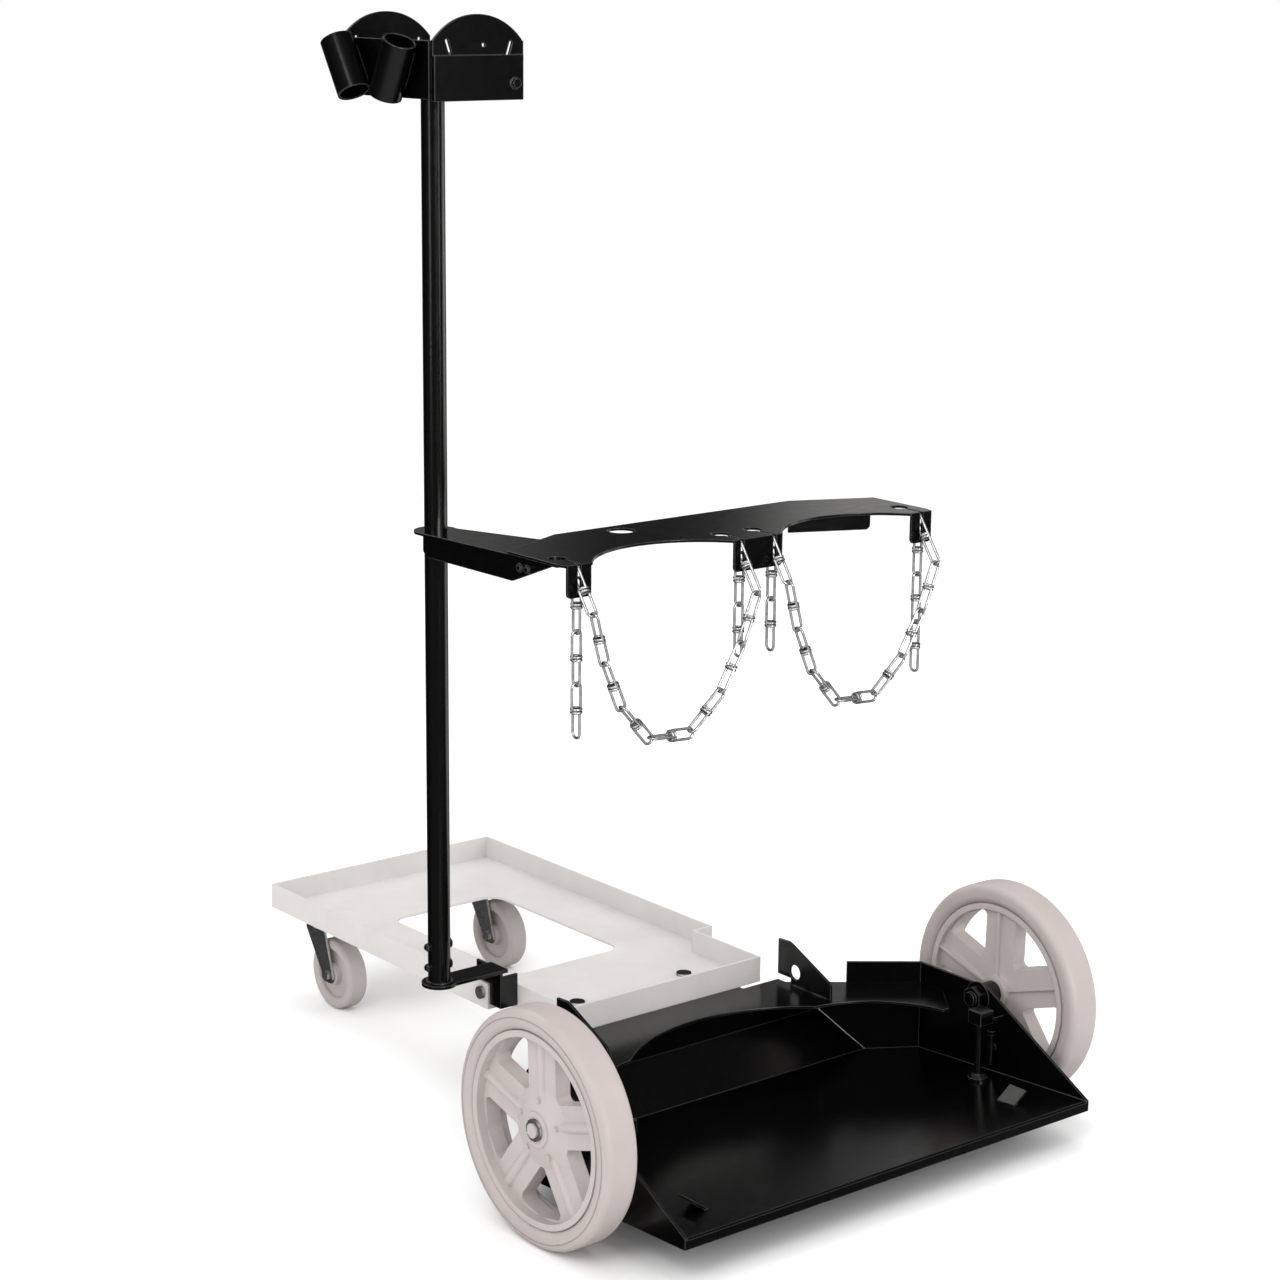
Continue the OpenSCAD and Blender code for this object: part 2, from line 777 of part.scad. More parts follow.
module bracket_plan() {
    difference() {
        polygon([
            [-wing_x, 168], [-wing_x, 82], [-outer_tab_out, tab_y], [outer_tab_out, tab_y],
            [wing_x, 82], [wing_x, 168], [168, 210], [-168, 210]
        ]);
        for (s = [-1, 1]) translate([s * scallop_x, -1.5]) circle(scallop_r, $fn = 96);
        translate([-97, 184]) circle(15);
        for (s = [-1, 1]) {
            for (x = [slot_outer_x, slot_inner_x]) translate([s * x, 106]) circle(keyhole_r);
            for (x = [slot_outer_x, slot_inner_x])
                translate([s * x - slot_w / 2, tab_y - 1]) square([slot_w, 34]);
        }
    }
}

module tab_outline(x0, x1) {
    low = bracket_top - tab_len;
    soft = 5;
    polygon([[x0, bracket_top - 1], [x0, low + soft], [x1, low + soft], [x1, bracket_top - 1]]);
    translate([x0 + soft, low]) square([x1 - x0 - 2 * soft, soft + 1]);
    for (x = [x0 + soft, x1 - soft]) translate([x, low + soft]) circle(soft);
}

module upper_bracket() cart() color(black) {
    translate([0, 0, plate_low]) linear_extrude(sheet) bracket_plan();
    difference() {
        front_plate(tab_y, sheet) {
            tab_outline(-outer_tab_out, -outer_tab_in);
            tab_outline(-inner_tab_x, inner_tab_x);
            tab_outline(outer_tab_in, outer_tab_out);
        }
        for (x = [-slot_outer_x, -slot_inner_x, slot_inner_x, slot_outer_x])
            translate([x - slot_w / 2, tab_y - 1, slot_floor]) cube([slot_w, sheet + 2, 60]);
    }
    // Stiffening flange under the right wing's rear edge
    translate([168, 210, 0]) rotate([0, 0, atan2(168 - 210, wing_x - 168)])
        translate([0, -sheet, 0]) rotate([90, 0, 0]) translate([0, 0, -sheet])
            linear_extrude(sheet) {
                translate([0, plate_low - 34]) square([93, 35]);
                translate([93, plate_low - 28]) square([6, 29]);
                translate([93, plate_low - 28]) circle(6);
            }
}

// ---- Chain ----

// One half of a double link: a long wire loop from its knot at the origin up to z = reach,
// lying in the XZ plane
module wire_loop(reach) {
    r = wire / 2;
    for (s = [-1, 1]) translate([s * loop_half, 0, 0])
        cylinder(h = reach - loop_half, r = r, $fn = 24);
    translate([0, 0, reach - loop_half]) rotate([90, 0, 0])
        rotate_extrude(angle = 180, $fn = 48) translate([loop_half, 0]) circle(r, $fn = 24);
}

// Double link along Z with its knot at the origin: one loop up, one loop down, with
// the lower loop turned about the link
module double_link(up, down, turn = 90) {
    wire_loop(up);
    rotate([180, 0, turn]) wire_loop(down);
    for (z = [-1.7, 1.7]) translate([0, 0, z])
        rotate_extrude($fn = 32) translate([loop_half - 0.6, 0]) circle(wire / 2, $fn = 24);
    cylinder(h = 4, r = loop_half - 0.6, center = true, $fn = 32);
}

// Hooked links: the ones at a loop's left end are quarter turned like the rest. The ones
// at its right end take up the chain's last quarter turn with both loops in one plane.
module hook_link(x, down, turn) {
    translate([x, knot0[0], knot0[1]]) rotate([-(90 - hook_tilt), 0, 0])
        rotate([0, 0, 90]) double_link(link_reach, down, turn);
}

module chain_hook_links() cart() color(zinc) {
    for (x = [-slot_outer_x, slot_inner_x]) hook_link(x, link_reach, 90);
    for (x = [-slot_inner_x, slot_outer_x]) hook_link(x, link_reach + loop_half, 0);
}

// Slope of link k in a loop whose links hang in balance. A link swings about the middle
// of its neighbour's end arc, so the places of those arcs are the loop's joints.
function link_slope(slack, k) = atan(slack * (k - (loop_links - 1) / 2));
function loop_span(slack, k = 0) =
    k == loop_links ? 0 : pitch * cos(link_slope(slack, k)) + loop_span(slack, k + 1);
function solve_slack(span, low, high, steps) =
    let (mid = (low + high) / 2)
    steps == 0 ? mid
        : loop_span(mid) > span ? solve_slack(span, mid, high, steps - 1)
        : solve_slack(span, low, mid, steps - 1);
wire_play = loop_half - wire - gap;
// The first link's arc rests on top of its hooked wire, and the last link's joint lies
// below its own, so the row of joints falls a little towards its right end
chain_across = slot_outer_x - slot_inner_x;
chain_fall = loop_half + wire + gap + 1.9 * wire_play;
chain_lean = atan(chain_fall / chain_across);
loop_slack = solve_slack(norm([chain_across, chain_fall]), 0.1, 20, 40);
function slope_at(k) = link_slope(loop_slack, k) - chain_lean;
function link_way(k) = [cos(slope_at(k)), sin(slope_at(k))];
function loop_joint(k) = k == 0 ? [0, wire + gap] - wire_play * link_way(0)
    : loop_joint(k - 1) + pitch * link_way(k - 1);

module chain_loop(left_x) {
    translate([left_x, hang[0], hang[1]]) for (k = [0 : loop_links - 1]) {
        knot = loop_joint(k) + (wire_play + link_reach) * link_way(k);
        translate([knot[0], 0, knot[1]]) rotate([0, 90 - slope_at(k), 0])
            double_link(link_reach, link_reach);
    }
}

module chain_loop_left() cart() color(zinc) chain_loop(-slot_outer_x);
module chain_loop_right() cart() color(zinc) chain_loop(slot_inner_x);

module chain_tail(x, links) {
    for (k = [0 : links - 1])
        translate([x, tail_y, tail_z - link_reach - k * pitch]) double_link(link_reach, link_reach);
}

module chain_tail_outer_left() cart() color(zinc) chain_tail(-slot_outer_x, outer_tail_links);
module chain_tail_inner_left() cart() color(zinc) chain_tail(-slot_inner_x, inner_tail_links);
module chain_tail_inner_right() cart() color(zinc) chain_tail(slot_inner_x, inner_tail_links);
module chain_tail_outer_right() cart() color(zinc) chain_tail(slot_outer_x, outer_tail_links);

// ---- Cable saddle and torch tubes ----

module moon_outline() {
    intersection() {
        translate([-moon_w / 2, 0]) square([moon_w, moon_h]);
        translate([0, moon_h - moon_r]) circle(moon_r, $fn = 96);
    }
}

module moon_slot(a, b) {
    u = (a - b) / norm(a - b);
    n = 1.95 * [u[1], -u[0]];
    polygon([a - n, b - n, b + n, a + n]);
    translate(a) circle(2, $fn = 24);
    translate(b) circle(2, $fn = 24);
}

module half_moon(y) {
    translate([moon_x, 0, saddle_low]) front_plate(y, sheet) difference() {
        moon_outline();
        moon_slot([-38.5, 60.5], [-32, 42]);
        moon_slot([42, 58], [35, 37.5]);
        translate([7.5, 56]) circle(2.2, $fn = 24);
        moon_screw_place() circle(3.1, $fn = 24);
    }
}

module moon_screw_place() {
    translate([moon_w / 2 - 12, 17]) children();
}

front_moon_y = post_y - saddle_front;
rear_moon_y = post_y - saddle_front + saddle_len - sheet;

// The front plate has an apron over its lower half and a short return on its right side
module half_moon_front() cart() color(black) {
    half_moon(front_moon_y);
    translate([moon_x, 0, saddle_low]) {
        front_plate(front_moon_y - sheet, sheet) difference() {
            translate([-moon_w / 2, 0]) square([moon_w, rest_rise]);
            moon_screw_place() circle(3.1, $fn = 24);
        }
        translate([moon_w / 2 - 1, front_moon_y, 0]) cube([sheet, return_len, moon_side - 1]);
    }
}
module half_moon_rear() cart() color(black) half_moon(rear_moon_y);

// Cable rest between the end plates, with a side leaf that carries the torch tubes
module cable_saddle() cart() color(black) {
    long = saddle_len - 2 * sheet;
    translate([moon_x, front_moon_y + sheet, 0]) {
        translate([-30, 0, rest_z - sheet]) cube([60, long, sheet]);
        both_sides() translate([30, 0, rest_z]) rotate([0, 30, 0])
            translate([0, 0, -sheet]) cube([27, long, sheet]);
        both_sides() translate([50, 0, saddle_low + 6]) cube([sheet, long, rest_rise - 20]);
        difference() {
            for (y = [0, long - sheet]) {
                translate([-51, y, saddle_low + 7]) cube([102, sheet, rest_rise - 22]);
                translate([-30, y, saddle_low + 8]) cube([60, sheet, rest_rise - 9]);
            }
            translate([moon_w / 2 - 12, -1, saddle_low + 17])
                rotate([-90, 0, 0]) cylinder(h = long + 2, r = 3.1, $fn = 32);
        }
        translate([-moon_w / 2 - sheet, 0, saddle_low + 2]) cube([sheet, long, moon_side - 2]);
        translate([-moon_w / 2 - 1, 0, saddle_low + 8]) cube([8, long, sheet]);
    }
}

module saddle_screws() cart() color(black) {
    for (end = [0, 1])
        translate([moon_x + moon_w / 2 - 12, end == 0 ? front_moon_y - sheet : rear_moon_y + sheet,
                   saddle_low + 17])
            rotate([end == 0 ? 90 : -90, 0, 0]) {
                cylinder(h = 2, r = 6.5, $fn = 32);
                cylinder(h = 6, r = 5.5, $fn = 6);
                translate([0, 0, -3 * sheet - 2]) cylinder(h = 3 * sheet + 3, r = 3, $fn = 32);
            }
}

module torch_tube(end) {
    tilt = end < 0 ? front_tilt : rear_tilt;
    translate([torch_x, post_y + 5 + end * torch_gap / 2, saddle_low + 32.5])
        rotate([-end * tilt, 0, 0]) difference() {
            cylinder(h = torch_len, r = torch_d / 2, center = true);
            cylinder(h = torch_len + 2, r = torch_d / 2 - torch_wall, center = true);
        }
}

module torch_tube_front() cart() color(black) torch_tube(-1);
module torch_tube_rear() cart() color(black) torch_tube(1);

cylinder_tray();
lower_shelf();
shelf_ear_left();
shelf_ear_right();
axle_strut_left();
axle_strut_right();
wall_latch_pins();
shelf_bolts();
stub_axle_left();
stub_axle_right();
axle_washers();
axle_spacers();
push_nuts();
tyre_left();
wheel_hub_left();
tyre_right();
wheel_hub_right();
chassis_pan();
chassis_crossmember();
caster_plate_left();
caster_plate_right();
caster_fork_left();
caster_fork_right();
caster_axle_left();
caster_axle_right();
caster_wheel_left();
caster_wheel_right();
foot_bracket();
foot_bracket_bolt();
post_spigot();
post_cross_bolts();
post();
post_arm();
arm_screws();
upper_bracket();
chain_hook_links();
chain_loop_left();
chain_loop_right();
chain_tail_outer_left();
chain_tail_inner_left();
chain_tail_inner_right();
chain_tail_outer_right();
half_moon_front();
half_moon_rear();
cable_saddle();
saddle_screws();
torch_tube_front();
torch_tube_rear();
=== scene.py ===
import json
import math
import random

import bmesh
import bpy
from mathutils import Matrix, Vector


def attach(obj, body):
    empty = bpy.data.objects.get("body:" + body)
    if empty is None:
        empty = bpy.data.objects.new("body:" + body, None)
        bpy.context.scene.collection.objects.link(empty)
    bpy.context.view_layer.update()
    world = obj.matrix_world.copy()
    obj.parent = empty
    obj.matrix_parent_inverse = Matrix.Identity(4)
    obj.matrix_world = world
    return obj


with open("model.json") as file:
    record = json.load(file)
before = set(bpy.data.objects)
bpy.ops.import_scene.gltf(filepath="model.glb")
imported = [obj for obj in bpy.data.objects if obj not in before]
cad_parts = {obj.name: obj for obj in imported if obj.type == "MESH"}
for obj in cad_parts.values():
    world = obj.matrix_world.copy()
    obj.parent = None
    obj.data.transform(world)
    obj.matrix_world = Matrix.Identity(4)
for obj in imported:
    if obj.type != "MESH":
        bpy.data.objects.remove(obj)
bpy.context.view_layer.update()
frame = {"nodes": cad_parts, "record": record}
MM = 0.001
RNG = random.Random(7)

# Places on the part, in millimetres from the axle line, as in the part's source.
AXLE_Y = 313.5
AXLE_FADE_X = 318
POST_X, POST_Y, POST_RADIUS = -247, 318, 13.6
FOOT_TOP = 174.1
EAR_X, EAR_HALF, SHELF_TOP = 165, 2.2, 117.6
EAR_WELDS = ((120, 144), (156, 180))
TUBE_X, TUBE_Y, TUBE_Z, TUBE_APART = -306.7, 323, 1183.5, 43.5
TUBE_TILTS = ((-1, 26), (1, 31))


# ---- Camera ----

PHOTO_WIDTH = 1280
SENSOR = 36
FOCAL = 2874.83
YAW = math.radians(39.06)
PITCH = math.radians(13.197)
ROLL = math.radians(0.5145)
EYE = Vector((-2.00305, -2.51209, 1.28713))


def make_camera():
    ahead = Vector((math.sin(YAW) * math.cos(PITCH),
                    math.cos(YAW) * math.cos(PITCH),
                    -math.sin(PITCH)))
    side = Vector((math.cos(YAW), -math.sin(YAW), 0))
    over = side.cross(ahead)
    right = side * math.cos(ROLL) + over * math.sin(ROLL)
    up = over * math.cos(ROLL) - side * math.sin(ROLL)
    data = bpy.data.cameras.new("camera")
    data.sensor_width = SENSOR
    data.lens = FOCAL * SENSOR / PHOTO_WIDTH
    data.clip_start = 0.1
    data.clip_end = 60
    cam = bpy.data.objects.new("camera", data)
    turn = Matrix((right, up, -ahead)).transposed()
    cam.matrix_world = Matrix.Translation(EYE) @ turn.to_4x4()
    bpy.context.scene.collection.objects.link(cam)
    bpy.context.scene.camera = cam


make_camera()


# ---- Materials ----

def new_material(name):
    mat = bpy.data.materials.new(name)
    mat.use_nodes = True
    nodes = mat.node_tree.nodes
    return mat, nodes, mat.node_tree.links, nodes["Principled BSDF"]


def noise(nodes, links, scale, detail, rough=0.5):
    coords = nodes.new("ShaderNodeTexCoord")
    tex = nodes.new("ShaderNodeTexNoise")
    tex.inputs["Scale"].default_value = scale
    tex.inputs["Detail"].default_value = detail
    tex.inputs["Roughness"].default_value = rough
    links.new(coords.outputs["Object"], tex.inputs["Vector"])
    return tex.outputs["Fac"]


def ramp(nodes, links, source, stops):
    """A colour that runs through stops, each a position and a colour."""
    node = nodes.new("ShaderNodeValToRGB")
    node.color_ramp.elements[0].position = stops[0][0]
    node.color_ramp.elements[0].color = (*stops[0][1], 1)
    node.color_ramp.elements[1].position = stops[-1][0]
    node.color_ramp.elements[1].color = (*stops[-1][1], 1)
    for place, colour in stops[1:-1]:
        node.color_ramp.elements.new(place).color = (*colour, 1)
    links.new(source, node.inputs["Fac"])
    return node.outputs["Color"]


def spread(nodes, links, source, low, high, start=0.3, end=0.7):
    """A value from low to high while the source goes from start to end, held past both."""
    node = nodes.new("ShaderNodeMapRange")
    node.inputs["From Min"].default_value = start
    node.inputs["From Max"].default_value = end
    node.inputs["To Min"].default_value = low
    node.inputs["To Max"].default_value = high
    links.new(source, node.inputs["Value"])
    return node.outputs["Result"]


def mix(nodes, links, fac, a, b):
    """The colour a where fac is 0 and b where it is 1."""
    node = nodes.new("ShaderNodeMix")
    node.data_type = "RGBA"
    links.new(fac, node.inputs["Factor"])
    for sock, val in ((node.inputs[6], a), (node.inputs[7], b)):
        if isinstance(val, tuple):
            sock.default_value = (*val, 1)
        else:
            links.new(val, sock)
    return node.outputs[2]


def soft_edges(nodes, links, shader, radius, height, strength, distance=0.0005):
    """Rounded edges and a fine surface bump. Returns a mask that is high along the edges."""
    bevel = nodes.new("ShaderNodeBevel")
    bevel.samples = 4
    bevel.inputs["Radius"].default_value = radius
    bump = nodes.new("ShaderNodeBump")
    bump.inputs["Strength"].default_value = strength
    bump.inputs["Distance"].default_value = distance
    links.new(height, bump.inputs["Height"])
    links.new(bevel.outputs["Normal"], bump.inputs["Normal"])
    links.new(bump.outputs["Normal"], shader.inputs["Normal"])
    geo = nodes.new("ShaderNodeNewGeometry")
    dot = nodes.new("ShaderNodeVectorMath")
    dot.operation = "DOT_PRODUCT"
    links.new(geo.outputs["True Normal"], dot.inputs[0])
    links.new(bevel.outputs["Normal"], dot.inputs[1])
    return spread(nodes, links, dot.outputs["Value"], 1.0, 0.0, 0.75, 0.995)


def powder_coat(name="black_powder_coat", faded_from=None):
    """Black coat with a painted highlight along its edges. With faded_from, what lies further out
    in x is as pale as the hubs.
    """
    mat, nodes, links, shader = new_material(name)
    peel = noise(nodes, links, 620, 2)
    edges = soft_edges(nodes, links, shader, 0.0017, peel, 0.07)
    dust = ramp(nodes, links, noise(nodes, links, 40, 6, 0.65),
                [(0.35, (0.0004, 0.0004, 0.0004)), (0.75, (0.0010, 0.0010, 0.0010))])
    # Lighter along the edges: a painted highlight where the bends catch the light.
    coat = mix(nodes, links, edges, dust, (0.095, 0.095, 0.096))
    if faded_from:
        split = nodes.new("ShaderNodeSeparateXYZ")
        links.new(nodes.new("ShaderNodeTexCoord").outputs["Object"], split.inputs["Vector"])
        out = nodes.new("ShaderNodeMath")
        out.operation = "ABSOLUTE"
        links.new(split.outputs["X"], out.inputs[0])
        past = spread(nodes, links, out.outputs["Value"], 0.0, 1.0, faded_from, faded_from + MM)
        coat = mix(nodes, links, past, coat, (0.48, 0.43, 0.415))
    links.new(coat, shader.inputs["Base Color"])
    links.new(spread(nodes, links, noise(nodes, links, 90, 4), 0.19, 0.23),
              shader.inputs["Roughness"])
    shader.inputs["Specular IOR Level"].default_value = 0.5
    return mat


def zinc():
    """Bright plate with painted shade: its wires and rims turn dark where they turn away from the
    view.
    """
    mat, nodes, links, shader = new_material("zinc_steel")
    grain = noise(nodes, links, 1400, 3)
    soft_edges(nodes, links, shader, 0.0006, grain, 0.10, 0.0003)
    plate = ramp(nodes, links, noise(nodes, links, 160, 4, 0.6),
                 [(0.3, (0.42, 0.42, 0.43)),
                  (0.55, (0.66, 0.66, 0.66)),
                  (0.75, (0.85, 0.85, 0.84))])
    # Painted shade: the base colour darkens towards the outlines, where the surface turns away from
    # the view.
    facing = nodes.new("ShaderNodeLayerWeight")
    facing.inputs["Blend"].default_value = 0.35
    painted_rim_shade = spread(nodes, links, facing.outputs["Facing"], 0.0, 1.0, 0.07, 0.42)
    links.new(mix(nodes, links, painted_rim_shade, plate, (0.03, 0.03, 0.031)), shader.inputs["Base Color"])
    shader.inputs["Specular IOR Level"].default_value = 0.2
    links.new(spread(nodes, links, noise(nodes, links, 260, 3), 0.14, 0.24),
              shader.inputs["Roughness"])
    shader.inputs["Metallic"].default_value = 0.60
    return mat


def moulded(name, dark, light, rough, bump):
    """Soft plastic, rubber or paint, mottled from dark to light, with a painted highlight along the
    edges.
    """
    mat, nodes, links, shader = new_material(name)
    fine = noise(nodes, links, 900, 3)
    edges = soft_edges(nodes, links, shader, 0.0015, fine, bump)
    body = ramp(nodes, links, noise(nodes, links, 14, 5, 0.6), [(0.3, dark), (0.7, light)])
    # Lighter along the edges: a painted highlight.
    painted_edge_highlight = tuple(c * 1.12 for c in light)
    links.new(mix(nodes, links, edges, body, painted_edge_highlight), shader.inputs["Base Color"])
    links.new(spread(nodes, links, noise(nodes, links, 30, 4), rough - 0.05, rough + 0.07),
              shader.inputs["Roughness"])
    return mat


FINISHES = {
    "black_powder_coat": powder_coat(),
    "faded_axle": powder_coat("faded_axle", AXLE_FADE_X * MM),
    "zinc_steel": zinc(),
}
for name, dark, light, rough, bump in (
        ("tyre_rubber", (0.425, 0.371, 0.356), (0.47, 0.413, 0.397), 0.46, 0.22),
        ("hub_plastic", (0.46, 0.41, 0.395), (0.51, 0.455, 0.44), 0.34, 0.10),
        ("caster_rubber", (0.40, 0.36, 0.345), (0.44, 0.40, 0.385), 0.5, 0.2),
        ("chassis_paint", (0.60, 0.58, 0.565), (0.66, 0.64, 0.625), 0.38, 0.1)):
    FINISHES[name] = moulded(name, dark, light, rough, bump)

slots = {s["node"]: s["material_slot"] for s in frame["record"]["subparts"]}
for name, obj in frame["nodes"].items():
    obj.data.materials.clear()
    finish = "faded_axle" if name.startswith("stub_axle") else slots[name]
    obj.data.materials.append(FINISHES[finish])


# ---- Weld beads ----

def at(x, y, z):
    """A place in millimetres from the axle line, in the scene's metres."""
    return Vector((x, y - AXLE_Y, z)) * MM


def bead(mesh, path, radius, closed=False):
    """A rippled bead of weld along a path of points, tapered at open ends."""
    sides = 10
    rings = []
    count = len(path)
    for i, here in enumerate(path):
        before = path[i - 1] if closed or i else here
        after = path[(i + 1) % count] if closed or i < count - 1 else here
        ahead = (after - before).normalized()
        side = ahead.orthogonal().normalized()
        over = ahead.cross(side)
        size = radius * (0.86 + 0.14 * abs(math.sin(i * math.pi / 3)) + RNG.uniform(-0.05, 0.05))
        if not closed:
            size *= min(1.0, 0.35 + 0.22 * min(i, count - 1 - i))
        rings.append([mesh.verts.new(here + (side * math.cos(t) + over * math.sin(t)) * size)
                      for t in (math.tau * k / sides for k in range(sides))])
    last = count if closed else count - 1
    for i in range(last):
        a, b = rings[i], rings[(i + 1) % count]
        best = min(range(sides), key=lambda k: (a[0].co - b[k].co).length)
        for k in range(sides):
            mesh.faces.new((a[k], a[(k + 1) % sides],
                            b[(best + k + 1) % sides], b[(best + k) % sides]))
    if not closed:
        mesh.faces.new(rings[0][::-1])
        mesh.faces.new(rings[-1])


def line(start, end):
    """Points on the way from start to end, 0.8 mm apart."""
    count = max(4, round((end - start).length / (0.8 * MM)))
    return [start.lerp(end, i / count) for i in range(count + 1)]


def weld_object(name, mesh):
    bmesh.ops.recalc_face_normals(mesh, faces=mesh.faces)
    data = bpy.data.meshes.new(name)
    mesh.to_mesh(data)
    mesh.free()
    for face in data.polygons:
        face.use_smooth = True
    data.materials.append(FINISHES["black_powder_coat"])
    obj = bpy.data.objects.new(name, data)
    bpy.context.scene.collection.objects.link(obj)
    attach(obj, "cart")


def weld_foot():
    """A ring round the post where it meets the foot bracket."""
    mesh = bmesh.new()
    count = 108
    ring = [at(POST_X + POST_RADIUS * math.cos(t), POST_Y + POST_RADIUS * math.sin(t), FOOT_TOP)
            for t in (math.tau * k / count for k in range(count))]
    bead(mesh, ring, 1.7 * MM, True)
    weld_object("weld_foot", mesh)


def weld_ears():
    """Two short beads along both sides of each ear's foot."""
    mesh = bmesh.new()
    for side in (-1, 1):
        for face in (-EAR_HALF, EAR_HALF):
            for start, end in EAR_WELDS:
                x = side * EAR_X + face
                bead(mesh, line(at(x, start, SHELF_TOP), at(x, end, SHELF_TOP)), 1.5 * MM)
    weld_object("weld_ears", mesh)


def weld_tubes():
    """A bead along both sides of each torch tube's seam with the saddle."""
    mesh = bmesh.new()
    reach, aside = 21 * MM, 6.2 * MM
    for end, tilt in TUBE_TILTS:
        lean = math.radians(tilt) * end
        along = Vector((0, math.sin(lean), math.cos(lean)))
        across = Vector((0, math.cos(lean), -math.sin(lean)))
        middle = at(TUBE_X, TUBE_Y + end * TUBE_APART, TUBE_Z)
        for side in (-1, 1):
            foot = middle + across * side * aside
            bead(mesh, line(foot - along * reach, foot + along * reach), 1.6 * MM)
    weld_object("weld_tubes", mesh)


weld_foot()
weld_ears()
weld_tubes()


# ---- Stage ----

def by_ray(nodes, links, kind, others, own):
    """The shader own for rays of one kind and others for all the rest."""
    path = nodes.new("ShaderNodeLightPath")
    both = nodes.new("ShaderNodeMixShader")
    links.new(path.outputs[kind], both.inputs["Fac"])
    links.new(others, both.inputs[1])
    links.new(own, both.inputs[2])
    return both.outputs["Shader"]


def floor_material():
    """Matt and pale. Rays off shiny surfaces pass through it to the room's lower half."""
    mat, nodes, links, shader = new_material("floor")
    shader.inputs["Roughness"].default_value = 0.9
    shader.inputs["Base Color"].default_value = (0.97, 0.97, 0.97, 1)
    shader.inputs["Specular IOR Level"].default_value = 0.0
    clear = nodes.new("ShaderNodeBsdfTransparent")
    both = by_ray(nodes, links, "Is Glossy Ray", shader.outputs["BSDF"], clear.outputs["BSDF"])
    links.new(both, nodes["Material Output"].inputs["Surface"])
    return mat


def make_floor():
    mesh = bpy.data.meshes.new("floor")
    half = 30
    corners = [(-half, -half, 0), (half, -half, 0), (half, half, 0), (-half, half, 0)]
    mesh.from_pydata(corners, [], [(0, 1, 2, 3)])
    obj = bpy.data.objects.new("floor", mesh)
    bpy.context.scene.collection.objects.link(obj)
    mesh.materials.append(floor_material())


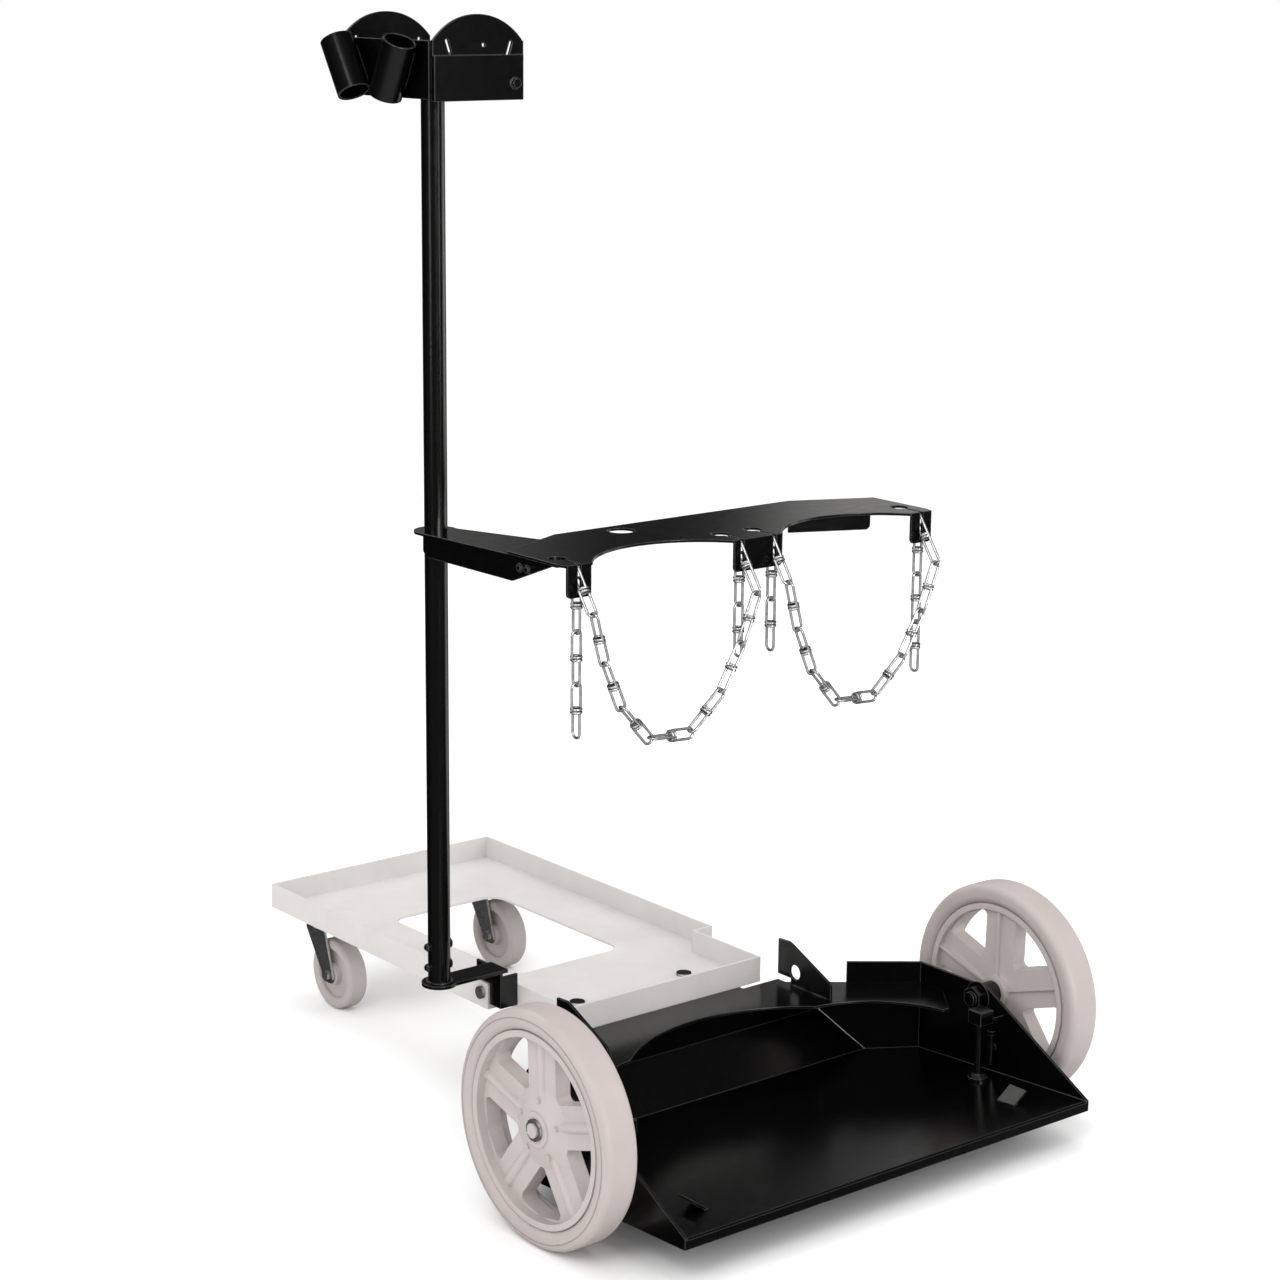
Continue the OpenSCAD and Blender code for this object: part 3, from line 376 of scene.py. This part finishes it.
def glossy_room(nodes, links):
    """How bright the room is that shiny surfaces see, by direction. It is dark, with a dim
    front and a bright backdrop low down behind the cart. The backdrop has a dark gap, as
    wide as a machine that would stand on the cart."""
    coords = nodes.new("ShaderNodeTexCoord")

    def along(direction):
        dot = nodes.new("ShaderNodeVectorMath")
        dot.operation = "DOT_PRODUCT"
        dot.inputs[1].default_value = direction
        links.new(coords.outputs["Generated"], dot.inputs[0])
        return dot.outputs["Value"]

    def join(how, *parts):
        total = parts[0]
        for part in parts[1:]:
            node = nodes.new("ShaderNodeMath")
            node.operation = how
            links.new(total, node.inputs[0])
            links.new(part, node.inputs[1])
            total = node.outputs["Value"]
        return total

    def step(source, low, high, start, end):
        return spread(nodes, links, source, low, high, start, end)

    def band(source, low, high, soft=0.06, strength=1.0):
        """The strength between low and high, falling to 0 outside."""
        return join("MULTIPLY", step(source, 0.0, strength, low - soft, low),
                    step(source, 1.0, 0.0, high, high + soft))

    ahead = along((math.sin(YAW), math.cos(YAW), 0))
    aside = along((math.cos(YAW), -math.sin(YAW), 0))
    height = along((0, 0, 1))

    behind = join("MULTIPLY", step(ahead, 0.0, 1.0, 0.75, 0.90), step(height, 1.0, 0.0, 0.30, 0.50))
    left = join("MULTIPLY", step(aside, 0.22, 0.0, -0.05, -0.02),
                step(height, 1.0, 0.0, 0.24, 0.30))
    right = step(aside, 0.0, 0.60, 0.035, 0.065)
    backdrop = join("MULTIPLY", behind, join("ADD", left, right))
    front = step(ahead, 0.11, 0.02, -0.6, 0.1)
    # High up in front of the cart, seen by the stops on the tray's floor.
    high = step(along((0, 0.757, 0.652)), 0.0, 2.2, 0.95, 0.98)
    # A tall card at the right, seen by the bends that turn away to the right.
    beside = join("MULTIPLY", band(ahead, 0.12, 0.60), band(aside, 0.60, 2.0),
                  join("ADD", band(height, -0.12, -0.03, 0.02, 2.0),
                       band(height, -0.46, -0.12, strength=1.5)))
    # A small card behind the camera, seen by the crease of the rear slope.
    crease = step(along((-0.098, -0.962, 0.245)), 0.0, 18.0, 0.975, 0.99)
    # Lit ground close by, seen by what faces down.
    ground = join("MULTIPLY", band(height, -2.0, -0.60, 0.2, 0.4), band(ahead, -2.0, -0.30, 0.2))
    return join("ADD", backdrop, front, high, beside, crease, ground)


def make_world():
    """White to the camera and to diffuse rays, and the glossy room to what shines."""
    world = bpy.data.worlds.new("studio")
    bpy.context.scene.world = world
    world.use_nodes = True
    nodes, links = world.node_tree.nodes, world.node_tree.links
    nodes.remove(nodes["Background"])

    def background(colour, strength=1.0):
        node = nodes.new("ShaderNodeBackground")
        node.inputs["Color"].default_value = (*colour, 1)
        node.inputs["Strength"].default_value = strength
        return node

    room = background((1, 0.985, 0.97))
    links.new(glossy_room(nodes, links), room.inputs["Strength"])
    light = background((1, 1, 1), 1.08)
    white = background((1, 1, 1))
    lit = by_ray(nodes, links, "Is Glossy Ray", light.outputs[0], room.outputs[0])
    seen = by_ray(nodes, links, "Is Camera Ray", lit, white.outputs[0])
    links.new(seen, nodes["World Output"].inputs["Surface"])


def area_light(name, place, target, width, height, power, in_gloss=True):
    data = bpy.data.lights.new(name, "AREA")
    data.shape = "RECTANGLE"
    data.size = width
    data.size_y = height
    data.energy = power
    obj = bpy.data.objects.new(name, data)
    obj.location = place
    obj.rotation_mode = "QUATERNION"
    obj.rotation_quaternion = (Vector(target) - Vector(place)).to_track_quat("-Z", "Y")
    obj.visible_camera = False
    obj.visible_glossy = in_gloss
    bpy.context.scene.collection.objects.link(obj)


make_floor()
make_world()
area_light("key", (-2.2, -1.6, 2.6), (0, 0, 0.4), 1.2, 1.2, 26)
area_light("fill", (2.4, -2.2, 1.8), (0, 0, 0.4), 1.6, 1.6, 16, False)
area_light("top", (0.2, 0.3, 3.0), (0, 0, 0.3), 2.0, 2.0, 16, False)
area_light("rear_card", (2.6, 1.6, 1.25), (0.3, -0.2, 0.7), 1.6, 1.0, 3, False)
area_light("strip_left", (-2.9, -0.9, 1.3), (-0.2, 0, 1.0), 0.3, 1.6, 7)
area_light("strip_right", (0.9, -3.0, 1.2), (-0.2, 0, 0.8), 0.3, 1.6, 7)

scene = bpy.context.scene
scene.view_settings.view_transform = "Standard"
